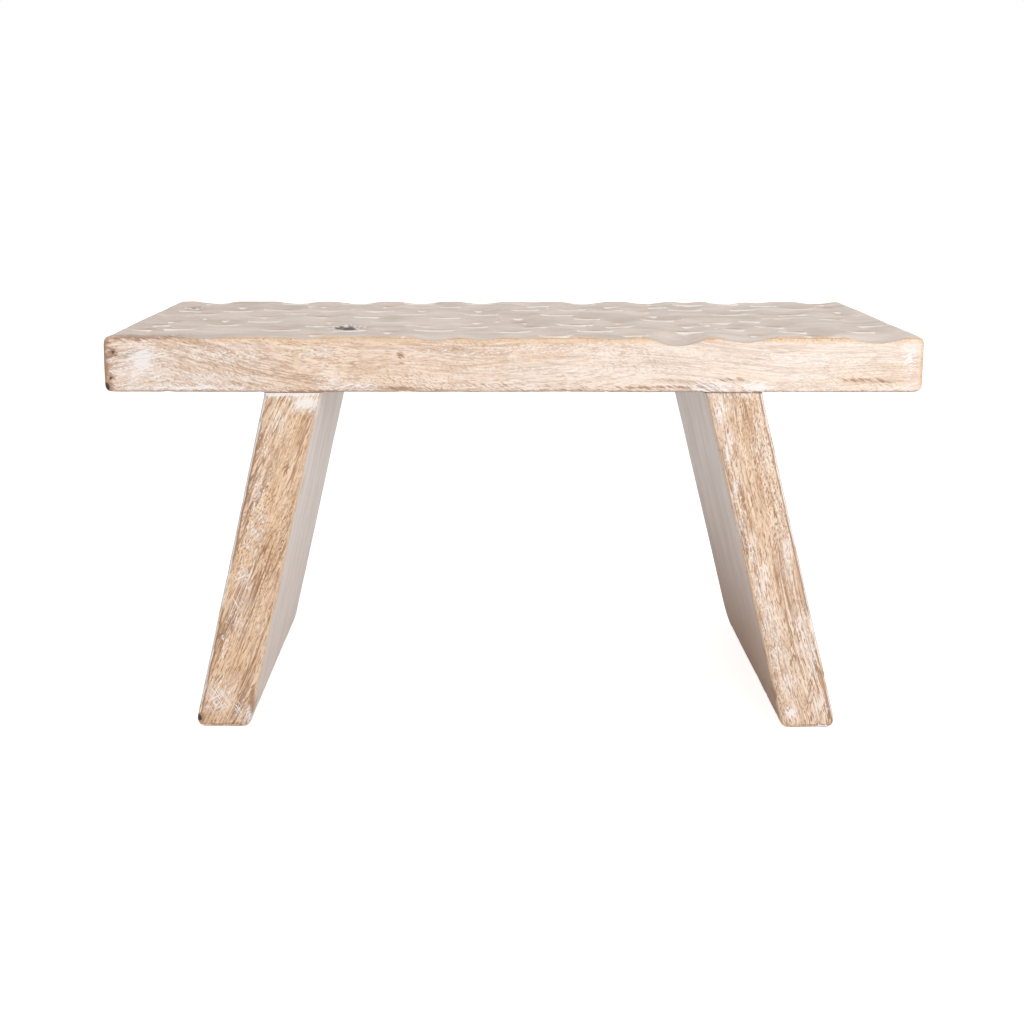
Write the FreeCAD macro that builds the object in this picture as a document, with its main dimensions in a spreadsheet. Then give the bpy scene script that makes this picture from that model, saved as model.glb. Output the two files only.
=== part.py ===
import FreeCAD, Part
import Sketcher
import math
import os

# Carved plank stool: a slab seat, hollowed with shallow bowls, on two splayed plank legs.
# Each leg is butted to the underside of the seat and held there by four blind glued dowels.
# The origin is on the floor under the middle of the seat, +Z is up and the front faces -Y.

# Driving dimensions in millimetres, the two splays in degrees.
DRIVING_SIZES = (
    # The slab of the seat
    ("seat_length", "600"),
    ("seat_depth", "250"),
    ("seat_thickness", "41.5"),
    ("seat_edge_radius", "3.5"),
    ("stool_height", "300"),
    # The planks of the legs; the inset runs from an end of the seat to a leg's outer face
    ("leg_thickness", "41"),
    ("leg_inset", "117.5"),
    ("left_splay", "12.9"),
    ("right_splay", "14"),
    ("leg_edge_radius", "3.5"),
    ("sole_edge_radius", "7"),
    ("left_heel_radius", "9"),
    ("right_heel_radius", "22"),
    # The common carved bowl
    ("bowl_width", "40"),
    ("bowl_depth", "3"),
    # The dowels and the room for glue round them and past their ends
    ("dowel_diameter", "12"),
    ("dowel_in_seat", "24"),
    ("dowel_in_leg", "36"),
    ("dowel_chamfer", "1"),
    ("dowel_margin", "35"),
    ("glue_side_gap", "0.1"),
    ("glue_end_gap", "1"),
    # How far a cutting shape stands out of the face that it cuts
    ("cut_overrun", "2"),
)

DOWELS_PER_LEG = 4

# Side of the stool and the sign of X there
SIDES = (("left", -1), ("right", 1))

# The rows of bowls. Each bowl has its place along the seat from the left end, across it from the
# front edge, and its width and depth as shares of the common bowl. The carver worked in loose
# rows, cut some edges and went deepest at the front, right of the middle.
ROWS_OF_BOWL_SHARES = (
    # Along the back edge
    (
        (0.060, 0.985, 0.95, 0.90), (0.182, 0.990, 1.00, 0.90), (0.274, 0.985, 0.95, 1.00),
        (0.366, 0.990, 1.00, 0.95), (0.458, 0.985, 1.00, 0.90), (0.611, 0.990, 1.05, 1.00),
        (0.705, 0.990, 1.00, 0.90), (0.825, 0.985, 1.00, 1.00), (0.959, 0.970, 0.95, 0.90),
    ),
    # Second row from the back
    (
        (0.040, 0.870, 0.95, 0.85), (0.110, 0.885, 1.00, 1.00), (0.225, 0.885, 0.85, 0.80),
        (0.320, 0.890, 0.85, 0.80), (0.412, 0.885, 0.90, 0.85), (0.535, 0.915, 1.00, 1.00),
        (0.645, 0.890, 0.90, 0.95), (0.710, 0.875, 0.90, 0.90), (0.765, 0.935, 0.85, 0.85),
        (0.872, 0.925, 1.00, 1.00), (0.912, 0.825, 0.90, 0.90), (0.964, 0.850, 0.85, 0.75),
    ),
    # Third row
    (
        (0.050, 0.750, 0.90, 0.90), (0.115, 0.752, 1.00, 1.00),
        (0.178, 0.788, 1.00, 1.00), (0.245, 0.775, 1.00, 1.00), (0.312, 0.765, 1.05, 1.00),
        (0.378, 0.785, 0.95, 0.95), (0.452, 0.780, 1.05, 1.00), (0.520, 0.780, 0.90, 0.85),
        (0.583, 0.805, 1.00, 1.00), (0.635, 0.765, 0.85, 0.85), (0.692, 0.745, 0.95, 1.00),
        (0.750, 0.780, 0.95, 0.95), (0.828, 0.805, 1.05, 1.00), (0.961, 0.745, 0.90, 0.90),
    ),
    # Fourth row
    (
        (0.075, 0.655, 0.80, 0.80), (0.200, 0.675, 0.85, 0.85), (0.360, 0.665, 1.00, 1.00),
        (0.460, 0.655, 1.00, 1.00), (0.569, 0.645, 1.00, 1.00), (0.692, 0.620, 1.00, 1.00),
        (0.798, 0.655, 1.00, 1.00), (0.885, 0.655, 1.05, 1.00), (0.962, 0.625, 0.90, 0.80),
    ),
    # Fifth row, behind the middle
    (
        (0.040, 0.575, 0.95, 0.80), (0.160, 0.592, 1.00, 1.00), (0.238, 0.592, 1.00, 1.00),
        (0.308, 0.590, 1.00, 1.00), (0.410, 0.560, 1.00, 1.00), (0.508, 0.560, 1.00, 1.00),
        (0.604, 0.535, 0.95, 0.95), (0.858, 0.555, 0.90, 0.90), (0.935, 0.530, 1.00, 1.00),
    ),
    # Sixth row, before the middle
    (
        (0.052, 0.465, 1.00, 1.00), (0.115, 0.490, 0.90, 0.90), (0.173, 0.465, 1.05, 1.00),
        (0.260, 0.465, 1.05, 1.00), (0.333, 0.450, 1.00, 1.00), (0.455, 0.445, 1.00, 1.00),
        (0.512, 0.425, 0.95, 0.90), (0.642, 0.440, 1.00, 1.00), (0.703, 0.490, 0.95, 0.95),
        (0.767, 0.430, 1.05, 1.00), (0.820, 0.465, 0.90, 0.90), (0.962, 0.450, 0.85, 0.70),
    ),
    # Seventh row
    (
        (0.038, 0.352, 0.90, 0.75), (0.125, 0.370, 1.00, 1.00), (0.254, 0.345, 1.00, 1.00),
        (0.383, 0.355, 1.00, 1.00), (0.448, 0.320, 0.90, 0.90), (0.526, 0.315, 0.95, 0.95),
        (0.585, 0.360, 0.85, 0.85), (0.635, 0.330, 0.95, 1.00), (0.727, 0.345, 1.00, 1.00),
        (0.840, 0.330, 1.05, 1.00), (0.957, 0.355, 1.00, 1.00),
    ),
    # Eighth row
    (
        (0.036, 0.235, 0.85, 0.70), (0.080, 0.262, 0.95, 0.95), (0.207, 0.250, 1.05, 1.00),
        (0.290, 0.232, 1.00, 1.00), (0.345, 0.195, 0.90, 0.90), (0.405, 0.240, 1.00, 1.00),
        (0.498, 0.205, 1.00, 1.00), (0.605, 0.225, 1.00, 0.95), (0.717, 0.205, 1.00, 1.00),
        (0.785, 0.255, 0.85, 0.85), (0.858, 0.205, 1.00, 1.00), (0.940, 0.215, 1.05, 1.00),
    ),
    # Second row from the front
    (
        (0.055, 0.110, 1.00, 1.00), (0.258, 0.125, 0.90, 0.90), (0.338, 0.075, 0.90, 0.90),
        (0.551, 0.115, 1.00, 1.00), (0.648, 0.120, 0.95, 0.95), (0.800, 0.125, 0.95, 0.95),
        (0.872, 0.086, 0.85, 0.80), (0.964, 0.100, 0.85, 0.75),
    ),
    # Along the front edge
    (
        (0.123, 0.030, 1.00, 0.65), (0.245, 0.012, 0.90, 0.65), (0.405, 0.030, 0.95, 1.10),
        (0.462, 0.030, 0.90, 1.00), (0.513, 0.008, 0.80, 0.60), (0.621, 0.004, 0.95, 0.75),
        (0.700, 0.035, 1.15, 2.40), (0.782, 0.012, 1.05, 1.45), (0.940, 0.016, 1.15, 1.65),
    ),
)

# Two lengths closer than this share of the seat's length are the same place.
SAME_PLACE_SHARE = 1e-6

# Heights and places that several pieces follow, as expressions of the driving dimensions
UNDERSIDE = "(Dimensions.stool_height - Dimensions.seat_thickness)"
HALF_DEPTH = "(Dimensions.seat_depth / 2)"
LEG_OUTER_FACE = "(Dimensions.seat_length / 2 - Dimensions.leg_inset)"
DOWEL_LENGTH = "(Dimensions.dowel_in_leg + Dimensions.dowel_in_seat)"

doc = FreeCAD.newDocument("CarvedPlankStool")
sheet = doc.addObject("Spreadsheet::Sheet", "Dimensions")
for row, (alias, value) in enumerate(DRIVING_SIZES, start=1):
    sheet.set(f"A{row}", alias)
    sheet.set(f"B{row}", value)
    sheet.setAlias(f"B{row}", alias)
doc.recompute()


def size(alias):
    """Value of one driving dimension."""
    return float(sheet.get(alias))


def same(a, b):
    """True where two coordinates are the same place."""
    return abs(a - b) < size("seat_length") * SAME_PLACE_SHARE


def add_sketch(body, name, role):
    """New sketch on one of the body's own origin planes."""
    sketch = body.newObject("Sketcher::SketchObject", name)
    plane = next(f for f in body.Origin.OriginFeatures if f.Role == role)
    sketch.AttachmentSupport = [(plane, "")]
    sketch.MapMode = "FlatFace"
    return sketch


def add_polygon(sketch, corners):
    """Closed outline of straight lines; line number i starts at corner i."""
    for start, end in zip(corners, corners[1:] + corners[:1]):
        sketch.addGeometry(Part.LineSegment(FreeCAD.Vector(*start), FreeCAD.Vector(*end)))
    for line in range(len(corners)):
        sketch.addConstraint(Sketcher.Constraint("Coincident", line, 2, (line + 1) % len(corners), 1))


def bind_constraint(sketch, name, expression, *constraint):
    """Named constraint whose value follows an expression."""
    index = sketch.addConstraint(Sketcher.Constraint(*constraint))
    sketch.renameConstraint(index, name)
    sketch.setExpression(f"Constraints.{name}", expression)


def add_fillet(body, name, base, alias, is_edge):
    """Fillet on the edges of a base feature whose two end points pass a test."""
    doc.recompute()
    edges = []
    for number, edge in enumerate(base.Shape.Edges, start=1):
        ends = [vertex.Point for vertex in edge.Vertexes]
        if len(ends) == 2 and is_edge(*ends):
            edges.append(f"Edge{number}")
    fillet = body.newObject("PartDesign::Fillet", name)
    fillet.Base = (base, edges)
    fillet.setExpression("Radius", f"Dimensions.{alias}")
    body.Tip = fillet
    return fillet


def make_board():
    """The seat's board with sharp edges, before it is carved."""
    board = doc.addObject("Part::Box", "SeatBoard")
    board.setExpression("Length", "Dimensions.seat_length")
    board.setExpression("Width", "Dimensions.seat_depth")
    board.setExpression("Height", "Dimensions.seat_thickness")
    board.setExpression("Placement.Base.x", "-Dimensions.seat_length / 2")
    board.setExpression("Placement.Base.y", f"-{HALF_DEPTH}")
    board.setExpression("Placement.Base.z", UNDERSIDE)
    return board


def make_rounded_slab():
    """The same board with every edge rounded; the carved board is trimmed to it."""
    body = doc.addObject("PartDesign::Body", "SeatSlab")
    sketch = add_sketch(body, "SlabOutline", "XY_Plane")
    sketch.setExpression("AttachmentOffset.Base.z", UNDERSIDE)
    x, y = size("seat_length") / 2, size("seat_depth") / 2
    add_polygon(sketch, [(-x, -y), (x, -y), (x, y), (-x, y)])
    for line in (0, 2):
        sketch.addConstraint(Sketcher.Constraint("Horizontal", line))
    for line in (1, 3):
        sketch.addConstraint(Sketcher.Constraint("Vertical", line))
    sketch.addConstraint(Sketcher.Constraint("Symmetric", 0, 1, 1, 2, -1, 1))
    bind_constraint(sketch, "length", "Dimensions.seat_length", "DistanceX", 0, 1, 0, 2, 2 * x)
    bind_constraint(sketch, "depth", "Dimensions.seat_depth", "DistanceY", 1, 1, 1, 2, 2 * y)
    pad = body.newObject("PartDesign::Pad", "SlabPad")
    pad.Profile = sketch
    pad.setExpression("Length", "Dimensions.seat_thickness")
    add_fillet(body, "SlabEdges", pad, "seat_edge_radius", lambda a, b: True)
    return body


def make_bowl_cutter(name, along_share, across_share, width_share, depth_share):
    """Cap of a ball that cuts one bowl into the top of the seat."""
    width = f"(Dimensions.bowl_width * {width_share})"
    depth = f"(Dimensions.bowl_depth * {depth_share})"
    radius = f"({width} ^ 2 / (8 * {depth}) + {depth} / 2)"
    cutter = doc.addObject("Part::Sphere", name)
    cutter.setExpression("Radius", radius)
    cutter.setExpression("Angle2", f"-asin(1 - ({depth} + Dimensions.cut_overrun) / {radius})")
    cutter.setExpression("Placement.Base.x", f"Dimensions.seat_length * ({along_share} - 0.5)")
    cutter.setExpression("Placement.Base.y", f"Dimensions.seat_depth * ({across_share} - 0.5)")
    cutter.setExpression("Placement.Base.z", f"Dimensions.stool_height - {depth} + {radius}")
    return cutter


def make_plank(side, sign):
    """One leg's plank: its front outline through the depth of the seat, then its rounded edges."""
    name = side.capitalize()
    body = doc.addObject("PartDesign::Body", f"{name}Plank")
    sketch = add_sketch(body, f"{name}Outline", "XZ_Plane")
    lean = math.radians(size(f"{side}_splay"))
    top = size("stool_height") - size("seat_thickness")
    across = sign * size("leg_thickness") / math.cos(lean)
    outer_top = sign * (size("seat_length") / 2 - size("leg_inset"))
    outer_foot = outer_top + sign * top * math.tan(lean)
    corners = [(outer_foot, 0), (outer_foot - across, 0), (outer_top - across, top), (outer_top, top)]
    add_polygon(sketch, corners)
    sole, inner, butt, outer = range(4)
    sketch.addConstraint(Sketcher.Constraint("Horizontal", sole))
    sketch.addConstraint(Sketcher.Constraint("Horizontal", butt))
    sketch.addConstraint(Sketcher.Constraint("Parallel", inner, outer))
    sketch.addConstraint(Sketcher.Constraint("PointOnObject", sole, 1, -1))
    bind_constraint(sketch, "top", UNDERSIDE, "DistanceY", -1, 1, outer, 1, top)
    outer_face = f"{sign} * {LEG_OUTER_FACE}"
    bind_constraint(sketch, "outer_face", outer_face, "DistanceX", -1, 1, outer, 1, outer_top)
    overhang = f"{sign} * {UNDERSIDE} * tan(Dimensions.{side}_splay)"
    bind_constraint(sketch, "overhang", overhang, "DistanceX", outer, 1, outer, 2, outer_foot - outer_top)
    bind_constraint(sketch, "thickness", "Dimensions.leg_thickness", "Distance", butt, 1, outer,
                    size("leg_thickness"))
    pad = body.newObject("PartDesign::Pad", f"{name}Pad")
    pad.Profile = sketch
    pad.SideType = "Symmetric"
    pad.setExpression("Length", "Dimensions.seat_depth")

    front, back = -size("seat_depth") / 2, size("seat_depth") / 2

    def is_heel(a, b):
        return same(a.z, 0) and same(b.z, 0) and same(a.y, back) and same(b.y, back)

    def is_sole_side(a, b):
        return same(a.z, 0) and same(b.z, 0) and not same(a.y, b.y)

    def is_arris(a, b):
        on_front = same(a.y, front) and same(b.y, front)
        return same(a.z, top) != same(b.z, top) or (on_front and same(a.z, 0) and same(b.z, 0))

    heel = add_fillet(body, f"{name}Heel", pad, f"{side}_heel_radius", is_heel)
    sole = add_fillet(body, f"{name}SoleSides", heel, "sole_edge_radius", is_sole_side)
    add_fillet(body, f"{name}Arrises", sole, "leg_edge_radius", is_arris)
    return body


def place_on_joint(piece, side, sign, number, end_gap):
    """Lay a dowel, or the bore for it, along its leg, starting down in the leg."""
    lean = f"Dimensions.{side}_splay"
    in_leg = f"(Dimensions.dowel_in_leg + {end_gap})"
    half_width = f"Dimensions.leg_thickness / (2 * cos({lean}))"
    spacing = f"(Dimensions.seat_depth - 2 * Dimensions.dowel_margin) / {DOWELS_PER_LEG - 1}"
    from_middle = f"({LEG_OUTER_FACE} - {half_width} + {in_leg} * sin({lean}))"
    from_front = f"(Dimensions.dowel_margin + {number - 1} * {spacing})"
    piece.Placement = FreeCAD.Placement(FreeCAD.Vector(), FreeCAD.Rotation(FreeCAD.Vector(0, 1, 0), -sign))
    piece.setExpression("Placement.Rotation.Angle", f"-({sign}) * {lean}")
    piece.setExpression("Placement.Base.x", f"{sign} * {from_middle}")
    piece.setExpression("Placement.Base.y", f"{from_front} - {HALF_DEPTH}")
    piece.setExpression("Placement.Base.z", f"{UNDERSIDE} - {in_leg} * cos({lean})")


def make_bore(side, sign, number):
    """Bore for one dowel, through the joint into both planks, with room for the glue."""
    bore = doc.addObject("Part::Cylinder", f"{side.capitalize()}Bore{number}")
    bore.setExpression("Radius", "Dimensions.dowel_diameter / 2 + Dimensions.glue_side_gap")
    bore.setExpression("Height", f"{DOWEL_LENGTH} + 2 * Dimensions.glue_end_gap")
    place_on_joint(bore, side, sign, number, "Dimensions.glue_end_gap")
    return bore


def make_dowel(side, sign, number):
    """One dowel with both ends chamfered."""
    name = f"{side.capitalize()}Dowel{number}"
    body = doc.addObject("PartDesign::Body", name)
    body.Label = f"{side}_dowel_{number}"
    sketch = add_sketch(body, f"{name}Round", "XY_Plane")
    radius = size("dowel_diameter") / 2
    sketch.addGeometry(Part.Circle(FreeCAD.Vector(), FreeCAD.Vector(0, 0, 1), radius))
    sketch.addConstraint(Sketcher.Constraint("Coincident", 0, 3, -1, 1))
    bind_constraint(sketch, "diameter", "Dimensions.dowel_diameter", "Diameter", 0, 2 * radius)
    pad = body.newObject("PartDesign::Pad", f"{name}Pad")
    pad.Profile = sketch
    pad.setExpression("Length", DOWEL_LENGTH)
    doc.recompute()
    ends = [f"Edge{number}" for number, edge in enumerate(pad.Shape.Edges, start=1) if edge.isClosed()]
    chamfer = body.newObject("PartDesign::Chamfer", f"{name}Ends")
    chamfer.Base = (pad, ends)
    chamfer.setExpression("Size", "Dimensions.dowel_chamfer")
    body.Tip = chamfer
    place_on_joint(body, side, sign, number, 0)
    return body


def cut_with(name, label, base, tools):
    """Cut a group of cutting shapes out of a base, and check that they took wood away."""
    group = doc.addObject("Part::MultiFuse", f"{name}Cutters")
    group.Shapes = tools
    cut = doc.addObject("Part::Cut", name)
    cut.Label = label
    cut.Base = base
    cut.Tool = group
    doc.recompute()
    removed = base.Shape.Volume - cut.Shape.Volume
    print(f"{label}: {removed:.0f} mm3 cut away from {base.Shape.Volume:.0f} mm3")
    if removed <= 0:
        raise RuntimeError(f"nothing was cut out of {label}")
    return cut


# Each bore goes through a joint, so the seat and the leg under it share it.
bores = {}
dowels = []
for side, sign in SIDES:
    numbers = range(1, DOWELS_PER_LEG + 1)
    bores[side] = [make_bore(side, sign, number) for number in numbers]
    dowels += [make_dowel(side, sign, number) for number in numbers]

# The board is carved row by row while its edges are sharp, then rounded, then bored from below.
carved_board = make_board()
for row, bowls in enumerate(ROWS_OF_BOWL_SHARES, start=1):
    numbered = enumerate(bowls, start=1)
    cutters = [make_bowl_cutter(f"Bowl{row}x{number}", *shares) for number, shares in numbered]
    carved_board = cut_with(f"CarvedRow{row}", f"carved_row_{row}", carved_board, cutters)
carved_slab = doc.addObject("Part::Common", "CarvedSlab")
carved_slab.Base = carved_board
carved_slab.Tool = make_rounded_slab()
sub_parts = [cut_with("Seat", "seat", carved_slab, bores["left"] + bores["right"])]
for side, sign in SIDES:
    plank = make_plank(side, sign)
    sub_parts.append(cut_with(f"{side.capitalize()}Leg", f"{side}_leg", plank, bores[side]))
sub_parts += dowels

doc.recompute()
for item in doc.Objects:
    if "Invalid" in item.State or "Error" in item.State:
        raise RuntimeError(f"{item.Label} failed: {item.State}")
for piece in sub_parts:
    if piece.Shape.isNull() or not piece.Shape.isValid() or len(piece.Shape.Solids) != 1:
        raise RuntimeError(f"{piece.Label} is not one valid solid")

os.makedirs("parts", exist_ok=True)
for piece in sub_parts:
    piece.Shape.exportStep(f"parts/{piece.Label}.step")
    print(f"{piece.Label}: {piece.Shape.Volume:.0f} mm3, {len(piece.Shape.Faces)} faces")
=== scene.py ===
import math

import bpy
import numpy as np
from bpy.props import FloatProperty, FloatVectorProperty, PointerProperty
from mathutils import Matrix, Vector, noise
from mathutils.bvhtree import BVHTree


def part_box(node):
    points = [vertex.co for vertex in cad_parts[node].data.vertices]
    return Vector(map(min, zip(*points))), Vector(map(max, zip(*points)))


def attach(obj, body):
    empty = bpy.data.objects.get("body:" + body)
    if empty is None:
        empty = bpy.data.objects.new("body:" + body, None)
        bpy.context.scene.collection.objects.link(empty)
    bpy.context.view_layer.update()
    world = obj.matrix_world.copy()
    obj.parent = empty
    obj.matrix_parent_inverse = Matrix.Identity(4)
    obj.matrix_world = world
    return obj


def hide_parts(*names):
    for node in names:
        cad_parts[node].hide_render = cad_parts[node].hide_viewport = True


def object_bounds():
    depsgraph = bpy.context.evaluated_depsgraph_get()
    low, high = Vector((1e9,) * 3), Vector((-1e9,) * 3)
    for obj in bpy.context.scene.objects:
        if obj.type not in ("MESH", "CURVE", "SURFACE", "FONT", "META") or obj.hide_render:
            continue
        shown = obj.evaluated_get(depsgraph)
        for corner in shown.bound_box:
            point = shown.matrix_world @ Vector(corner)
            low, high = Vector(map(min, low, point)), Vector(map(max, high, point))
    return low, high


bl_info = {
    "name": "Carved plank stool",
    "version": (1, 0, 0),
    "blender": (4, 5, 0),
    "location": "3D View > Sidebar > Stool",
    "description": "A whitewashed slab stool with a hand-carved top on two splayed plank legs",
    "category": "Add Mesh",
}

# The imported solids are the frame: metres, the floor at Z = 0, the front facing -Y.
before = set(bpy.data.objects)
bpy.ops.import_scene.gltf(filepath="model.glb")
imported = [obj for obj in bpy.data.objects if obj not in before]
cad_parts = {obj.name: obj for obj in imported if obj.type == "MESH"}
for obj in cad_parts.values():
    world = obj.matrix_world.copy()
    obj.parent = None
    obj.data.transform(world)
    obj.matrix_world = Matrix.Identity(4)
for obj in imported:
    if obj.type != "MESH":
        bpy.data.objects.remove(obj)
CAD_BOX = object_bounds()
SEAT_LOW, SEAT_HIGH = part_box("seat")
LEG_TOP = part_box("left_leg")[1].z
FRONT = SEAT_LOW.y
BODY = "root"
SIDES = ("left", "right")
MM = 0.001
ORIGIN = (0.0, 0.0, 0.0)
WHITE = (1.0, 1.0, 1.0)

# What each plank's mesh carries for its material, a value at each point: how far in from the
# arrises it lies, where they are worn bare, the front lips of the bowls (painted highlight) and
# their front walls (painted shade), the waxed top, the legs' inner faces (painted sheen) and the
# painted shade low on them, the three kinds of blots, and the knots
MASKS = ("inset", "bare", "lip", "bowl", "handled", "inner_faces", "painted_shade", "wash", "stain",
         "scratched", "knot")

# Hand work, in metres: how far in from the arrises their wear goes, the patches over which their
# rounding varies, the chips, the plane's broad and fine waves, how far a joint's filler runs past
# it and down the leg, how far down the leg stays flat, and how high the painted shade reaches on
# its inner face
INSET_REACH = 0.01
ARRIS_PATCH = 0.035
CHIP_SIZE = 0.006
SEAT_WAVES = (0.06, 0.018)
LEG_WAVES = (0.08, 0.02)
FILLER_REACH = 2.5 * MM
FILLER_DROP = 5 * MM
HELD_AT_JOINT = 0.01
PAINTED_SHADE_HEIGHT = 0.23

# Seeds of the hand work
ARRIS_SEED = 5.0
WAVE_SEEDS = {"seat": (1.0, 2.0), "left": (11.0, 8.0), "right": (12.0, 8.0)}
CHIP_SEEDS = {"seat": 3.0, "left": 9.0, "right": 9.0}

# Carving: the slope of a bowl's wall, the bend of its rim and how squarely both face the front,
# each from where it starts to count to where it counts in full, the slope that faces nowhere, and,
# in millimetres, how far the painted highlight on a lip and the painted shade on a wall are
# widened and the highlight blurred
WALL_SLOPE = (0.04, 0.09)
RIM_BEND = (8.0, 26.0)
FACING_FRONT = (0.6, 0.92)
LEAST_SLOPE = 0.01
LIP_WIDTH = 14
WALL_WIDTH = 9
LIP_BLUR = 0.8

# How far the grain of each leg leans from upright towards +X
LEG_GRAIN_LEAN = {"left": math.radians(25), "right": math.radians(-14)}

# The boards. place: where it lay in its log, along the heart and across it. golden: how yellow it
# is. tone, contrast: how far it has gone from pale to tan and how strongly its grain shows, at the
# seat's left and right ends. lines, pores: how dark these are. flecks, brushed: how far the short
# pores and the wash slant from the grain, in radians. bare: how far in the arrises are worn, as a
# share of INSET_REACH. edged: how much chalk and dirt lies along them. rise: how far the grain
# climbs towards the left end, in metres.
LEG_WOOD = {
    "contrast": (1.0, 1.0), "lines": 1.0, "pores": 0.95, "flecks": -0.15, "brushed": 0.0,
    "bare": 0.25, "edged": 1.0, "rise": 0.0,
}
BOARDS = {
    "seat": {
        "place": (0.31, 0.035, -0.075), "golden": 0.12, "tone": (0.42, 0.14),
        "contrast": (0.8, 0.36), "lines": 0.6, "pores": 0.75, "flecks": -0.4, "brushed": 0.35,
        "bare": 0.5, "edged": 0.0, "rise": 0.03},
    "left": {"place": (1.43, 0.060, 0.052), "golden": 0.75, "tone": (0.43, 0.43), **LEG_WOOD},
    "right": {"place": (2.71, -0.048, 0.066), "golden": 0.5, "tone": (0.4, 0.4), **LEG_WOOD},
}
DOWEL_PLACE_IN_LOG = (3.90, 0.012, 0.020)

# The noises that the wood is drawn with: cycles per metre along the grain and across it, how many
# finer octaves each has and how strong these are
FIGURES = {
    "bends": (4, 7, 1.5, 0.5),
    "rough rings": (3, 60, 3, 0.5),
    "fibres": (22, 620, 3, 0.6),
    "streaks": (5, 90, 3, 0.6),
    "patches": (6, 30, 3, 0.5),
    "lines": (7, 340, 1, 0.55),
    "flecks": (330, 1300, 1, 0.6),
    "pores": (130, 1500, 1, 0.6),
    "flecked places": (9, 35, 2, 0.5),
    "wash clouds": (35, 110, 4, 0.65),
    "brush strokes": (75, 850, 2, 0.6),
    "specks": (420, 1000, 1, 0.6),
    "scratches": (75, 1200, 0, 0.5),
    "slow wear": (22, 130, 3, 0.6),
    "broken wear": (30, 160, 3, 0.6),
    "grit": (420, 600, 2, 0.7),
    "weathered streaks": (8, 330, 3, 0.6),
    "weathered bands": (12, 42, 5, 0.66),
    "hatch": (110, 800, 2, 0.7),
}
KNOT_FINENESS = (200.0, 260.0, 240.0)

# Blots laid on the wood: (x, z) of the middle and the reach along x and z, all in
# millimetres on the front faces, then the strength. White ones are thick wash, dark ones stain,
# black from strength 2 up, and the scratched ones were rubbed with coarse paper.
SEAT_WASH = (
    (-272, 285, 20, 11, 1.0), (-268, 274, 22, 14, 0.8), (-240, 262, 60, 2.2, 1.2),
    (-119, 263, 22, 3, 1.0), (-213, 287, 34, 6, 0.5), (-220, 268, 30, 5, 0.6),
    (-138, 270, 12, 4, 0.7), (288, 283, 4, 12, 1.15), (144, 261, 15, 6, 1.3),
    (178, 262, 12, 6, 1.3), (250, 261, 60, 2, 0.8), (285, 262, 14, 3, 0.9),
    (-30, 289, 60, 4, 0.4), (60, 291, 70, 4, 0.5), (200, 284, 60, 5, 0.45),
    (40, 275, 90, 4, 0.35), (-150, 288, 40, 5, 0.4), (212, 270, 20, 3, 0.5),
)
SEAT_STAIN = (
    (-79, 262, 26, 3, 0.9), (-20, 264, 60, 4, 0.6), (134, 264, 34, 5, 0.8),
    (105, 262, 40, 2.5, 0.9), (250, 269, 20, 5, 0.6), (270, 265, 16, 3, 0.6),
    (236, 276, 10, 3, 0.5), (-82, 286, 2.2, 5, 1.2), (-300, 280, 7, 40, 1.5),
    (-297, 264, 6, 6, 1.5), (-292, 288, 3.5, 2.2, 2.8), (-294, 270, 2.4, 2, 2.6),
    (-297.5, 262.5, 3, 5, 2.9), (0, 258.8, 900, 1.3, 1.2), (-147, 258.8, 30, 1.8, 1.6),
    (160, 258.8, 26, 1.4, 1.4), (-270, 299, 30, 2.5, 1.5), (-150, 268, 40, 4, 0.25),
    (40, 261, 60, 2, 0.7), (160, 265, 12, 7, 0.8), (-235, 271, 40, 3, 0.25),
    (-40, 285, 40, 6, 0.25),
)
SEAT_SCRATCHED = ((-225, 270, 40, 9, 0.45), (-130, 266, 20, 5, 0.4), (-60, 268, 30, 6, 0.3))
LEG_WASH = {
    "left": (
        (-150, 251, 12, 6, 1.5), (-141, 243, 5, 8, 1.25), (-173, 236, 6, 12, 0.5),
        (-184, 222, 5, 14, 0.45), (-188, 172, 6, 22, 0.55), (-193, 150, 6, 20, 0.55),
        (-199, 122, 4, 16, 0.7), (-222, 30, 10, 12, 0.6), (-216, 66, 4, 18, 0.5),
        (-200, 13, 3, 12, 1.4), (-206, 88, 7, 14, 0.4), (-205, 14, 6, 8, 0.6),
    ),
    "right": (
        (152, 247, 4, 12, 1.05), (158, 216, 3, 14, 1.15), (165, 185, 3, 16, 0.95),
        (169, 160, 3, 16, 0.9), (178, 140, 5, 12, 0.75), (186, 112, 5, 18, 0.9),
        (190, 88, 4, 14, 0.7), (180, 232, 3, 16, 0.95), (187, 212, 3, 14, 0.5),
        (196, 170, 3, 26, 0.45), (204, 136, 4, 22, 0.5), (218, 84, 5, 26, 0.55),
        (226, 60, 4, 30, 0.6), (206, 36, 8, 7, 0.8), (211, 13, 5, 3.5, 1.3),
        (236, 18, 7, 9, 0.65), (190, 250, 4, 10, 0.7), (199, 62, 4, 20, 0.5),
    ),
}
LEG_STAIN = {
    "left": (
        (-167, 203, 1.5, 5, 1.4), (-177, 177, 1.5, 4, 1.2), (-147, 212, 1.5, 14, 1.1),
        (-238, 8, 3.6, 3.2, 3.2), (-190, 152, 12, 26, 0.35), (-206, 120, 5, 16, 0.4),
        (-190, 62, 4, 34, 0.4), (-197, 22, 2, 16, 1.6), (-203, 20, 3, 16, 0.9),
        (-157, 180, 2, 14, 0.9), (-175, 100, 4, 30, 0.4), (-214, 60, 3, 30, 0.5),
    ),
    "right": (
        (199, 27, 2, 6, 1.7), (164, 216, 2.5, 12, 0.7), (176, 190, 3, 40, 0.5),
        (196, 130, 5, 40, 0.6), (212, 70, 5, 36, 0.6), (226, 30, 4, 20, 0.7),
        (177, 235, 3, 14, 0.6), (204, 10, 5, 6, 0.6),
    ),
}
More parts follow.
